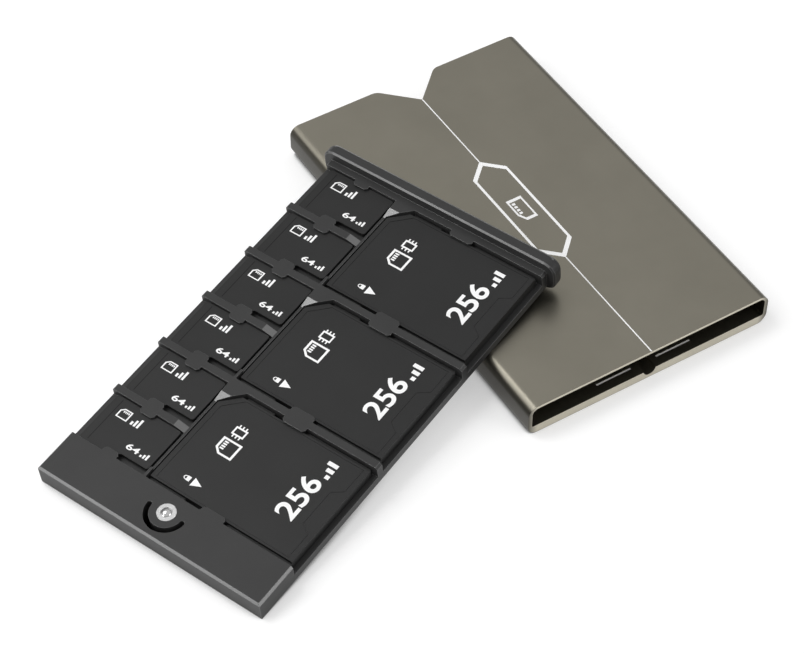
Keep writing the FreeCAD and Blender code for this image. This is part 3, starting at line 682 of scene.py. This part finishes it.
# %% [markdown]
# ## Signs
# The cards carry signs that belong to no one: a card's outline with its cut corner, a chip, a padlock with an
# arrow for the write lock, rising bars, and plain numbers. Each is drawn in the unit square, so one drawing
# serves all sizes. Numbers come from Blender's own font, made a mesh first.

# %% Signs
def card_sign():
    """A card's outline with one cut corner and four contact bars."""
    outline = [(0.06, 0.05), (0.94, 0.05), (0.94, 0.95), (0.32, 0.95), (0.06, 0.69)]
    bars = [stroke([(x, 0.62), (x, 0.82)], 0.09) for x in (0.36, 0.50, 0.64, 0.78)]
    return joined([stroke(outline, 0.11, closed=True)] + bars)


def chip_sign():
    """A chip: a square outline with three short legs on its left and right side."""
    outline = stroke([(0.24, 0.1), (0.76, 0.1), (0.76, 0.9), (0.24, 0.9)], 0.12, closed=True)
    legs = [stroke([(x, y), (x + 0.18, y)], 0.1) for x in (0.0, 0.82) for y in (0.25, 0.5, 0.75)]
    return joined([outline] + legs)


def padlock_sign():
    """A padlock: a filled body, and a shackle that is half an ellipse on two legs."""
    angle = np.linspace(0, math.pi, 13)
    arch = np.stack([0.5 + 0.27 * np.cos(angle), 0.66 + 0.24 * np.sin(angle)], 1)
    shackle = stroke(np.concatenate([[(0.77, 0.54)], arch, [(0.23, 0.54)]]), 0.13)
    return joined([patch([(0.1, 0.0), (0.9, 0.0), (0.9, 0.54), (0.1, 0.54)]), shackle])


def arrow_sign():
    """A filled triangle that points up."""
    return patch([(0, 0), (1, 0), (0.5, 1)])


def bars_sign():
    """Three bars of rising height."""
    return joined([patch([(x, 0), (x + 0.24, 0), (x + 0.24, top), (x, top)])
                   for x, top in ((0.0, 0.4), (0.38, 0.7), (0.76, 1.0))])


# %% Figures
FIGURE_WEIGHT = 0.02


def numerals(text):
    """Plain figures as a filled flat shape, stretched to the unit square."""
    curve = bpy.data.curves.new("figures", "FONT")
    curve.body = text
    curve.offset = FIGURE_WEIGHT
    writer = linked("figures", curve)
    mesh = bpy.data.meshes.new_from_object(writer.evaluated_get(bpy.context.evaluated_depsgraph_get()))
    points = vertices(mesh)[:, :2]
    faces = [tuple(face.vertices) for face in mesh.polygons]
    bpy.data.objects.remove(writer)
    bpy.data.curves.remove(curve)
    bpy.data.meshes.remove(mesh)
    span = points.max(0) - points.min(0)
    return (points - points.min(0)) / span, faces


large_number = numerals("256")
small_number = numerals("64")
print("figures have", len(large_number[0]) + len(small_number[0]), "points")

# %% [markdown]
# ## Prints on the cards
# On a full-size card everything is printed to be read from the contact end, so its right is the tray's along axis
# and its up points back across the tray. On a small card the print runs across the tray. The places are measured
# from the card itself, so each print moves with its card. The rear end of a small card is thicker. Where that
# ends, a thin dark layer, laid like the ink, is a painted shade line.

# %% Full-size card prints
LARGE_CARDS = ["large_card_%d" % number for number in (1, 2, 3)]
# Each sign with its corner on the label, its right side and its up side, in mm across and along the tray.
LARGE_SIGNS = [
    (card_sign(), (8.9, 9.9), (0, 3.7), (-4.2, 0)),
    (chip_sign(), (8.0, 14.2), (0, 2.9), (-2.9, 0)),
    (padlock_sign(), (5.5, 2.2), (0, 1.3), (-1.5, 0)),
    (arrow_sign(), (6.1, 1.8), (0, 1.9), (2.05, 0)),
    (large_number, (25.9, 5.95), (0, 9.5), (-4.3, 0)),
    (bars_sign(), (25.9, 16.4), (0, 3.5), (-2.2, 0)),
]


def print_signs(card, signs, base, height):
    """All signs of a card as one layer of ink, with their places counted from its lowest corner."""
    shape = joined([fitted(sign, base + corner, right, up) for sign, corner, right, up in signs])
    ink(card + "_print", shape, TRAY, height, card)


for card in LARGE_CARDS:
    low, high = tray_box(card + "_label")
    print_signs(card, LARGE_SIGNS, low[:2] / MM, high[2])
print("prints on", len(LARGE_CARDS), "full-size cards")

# %% Small card prints
SMALL_CARDS = ["small_card_%d" % number for number in range(1, 7)]
SMALL_SIGNS = [
    (card_sign(), (2.5, 7.1), (2.6, 0), (0, 2.2)),
    (bars_sign(), (5.9, 7.1), (1.9, 0), (0, 2.0)),
    (small_number, (8.6, 2.65), (2.8, 0), (0, 1.35)),
    (bars_sign(), (11.9, 2.65), (1.7, 0), (0, 1.2)),
]
# The painted shade line: its distance from the rear, its width, and where it starts and ends along the tray.
LIP, LIP_WIDTH, LIP_START, LIP_END = 1.6, 0.13, 0.5, 10.5
lip_shade = finish("lip_shade", grey(0.003), grey(0.005), (0.5, 0.6), 0.2 * MM, 0.0005 * MM, specular=0.2)
for card in SMALL_CARDS:
    low, high = tray_box(card + "_body")
    base = low[:2] / MM
    print_signs(card, SMALL_SIGNS, base, high[2])
    painted_rear_shade = stroke([base + (LIP, LIP_START), base + (LIP, LIP_END)], LIP_WIDTH)
    ink(card + "_painted_rear_shade", painted_rear_shade, TRAY, high[2], card, lip_shade)
print("prints on", len(SMALL_CARDS), "small cards, and a line where the thick rear edge ends")

# %% [markdown]
# ## Lines on the sleeve
# A fine line runs along the middle of the sleeve, from the valley of the finger notch to the mouth, and opens
# into a long hexagon. The hexagon's end sides are broader than its long ones, so its rim is worked out edge
# by edge: every edge moves in and out by half its own width, and neighbouring edges are cut with each
# other.

# %% Hexagon rim
def rim(corners, widths):
    """Outer and inner outline of a closed path whose edges have different widths.

    Edge i satisfies normal . point = distance; it moves by half its width, and corner i is where edges i-1
    and i meet, from two equations for two unknowns.
    """
    corners = np.asarray(corners, float)
    ahead = np.roll(corners, -1, 0) - corners
    outward = np.stack([ahead[:, 1], -ahead[:, 0]], 1) / np.linalg.norm(ahead, axis=1, keepdims=True)
    distance = (outward * corners).sum(1)
    half = np.asarray(widths, float) / 2
    pairs = np.stack([np.roll(outward, 1, 0), outward], 1)
    loops = []
    for side in (1, -1):
        moved = distance + side * half
        right_hand = np.stack([np.roll(moved, 1), moved], 1)
        loops.append(np.linalg.solve(pairs, right_hand[..., None])[..., 0])
    count = len(corners)
    start = np.arange(count)
    after = (start + 1) % count
    return np.concatenate(loops), np.stack([start, after, after + count, start + count], 1).tolist()


# %% Lines on top
# Places and widths in mm on the sleeve, from its middle.
APEX, SHOULDER, FLANK = 14.65, 11.1, 3.68
END_LINE, LONG_LINE, FINE_LINE = 0.9, 0.55, 0.25
VALLEY, MOUTH_GAP = 36.65, 0.1
SLEEVE_SIGN = ((1.7, -3.2), (0, 6.4), (-3.4, 0))
sleeve_low, sleeve_high = (np.array(corner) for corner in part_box("sleeve_shell"))
mouth = sleeve_low[1] / MM
half_rim = np.array([(0, -APEX), (FLANK, -SHOULDER), (FLANK, SHOULDER)])
hexagon = rim(np.concatenate([half_rim, -half_rim]), [END_LINE, LONG_LINE, END_LINE] * 2)
lines = joined([
    hexagon,
    stroke([(0, VALLEY), hexagon[0][3]], FINE_LINE),
    stroke([hexagon[0][0], (0, mouth + MOUTH_GAP)], FINE_LINE),
    fitted(card_sign(), *SLEEVE_SIGN),
])
ink("sleeve_lines", lines, np.eye(3), sleeve_high[2], "sleeve")
print("lines on the sleeve, %.1f mm long" % (VALLEY - mouth))

# %% [markdown]
# ## Marks inside the mouth
# Two short marks are scribed across the thick plate just inside the mouth, and filled white as the lines on top
# are; that white is a painted reflection. The fill could be a change of colour in the metal's material, but a
# layer of its own in the groove keeps a clean edge.

# %% Filled marks
# Sizes in mm: the plate's inner face, the marks' distance from the mouth, and where each starts and ends.
PLATE, SETBACK, MARK_START, MARK_END, MARK_WIDTH = 1.95, 2.0, 2.9, 10.6, 0.3
MARK_DEPTH = 2 * LAYER
fill_line = mouth + SETBACK + MARK_WIDTH / 2
marks = joined([
    stroke([(side * MARK_START, fill_line), (side * MARK_END, fill_line)], MARK_WIDTH) for side in (-1, 1)
])
# A painted reflection: white layers in the grooves inside the mouth.
ink("mouth_painted_reflections", marks, np.eye(3), PLATE * MM - MARK_DEPTH, "sleeve")
print("two marks, %.1f mm inside the mouth" % SETBACK)
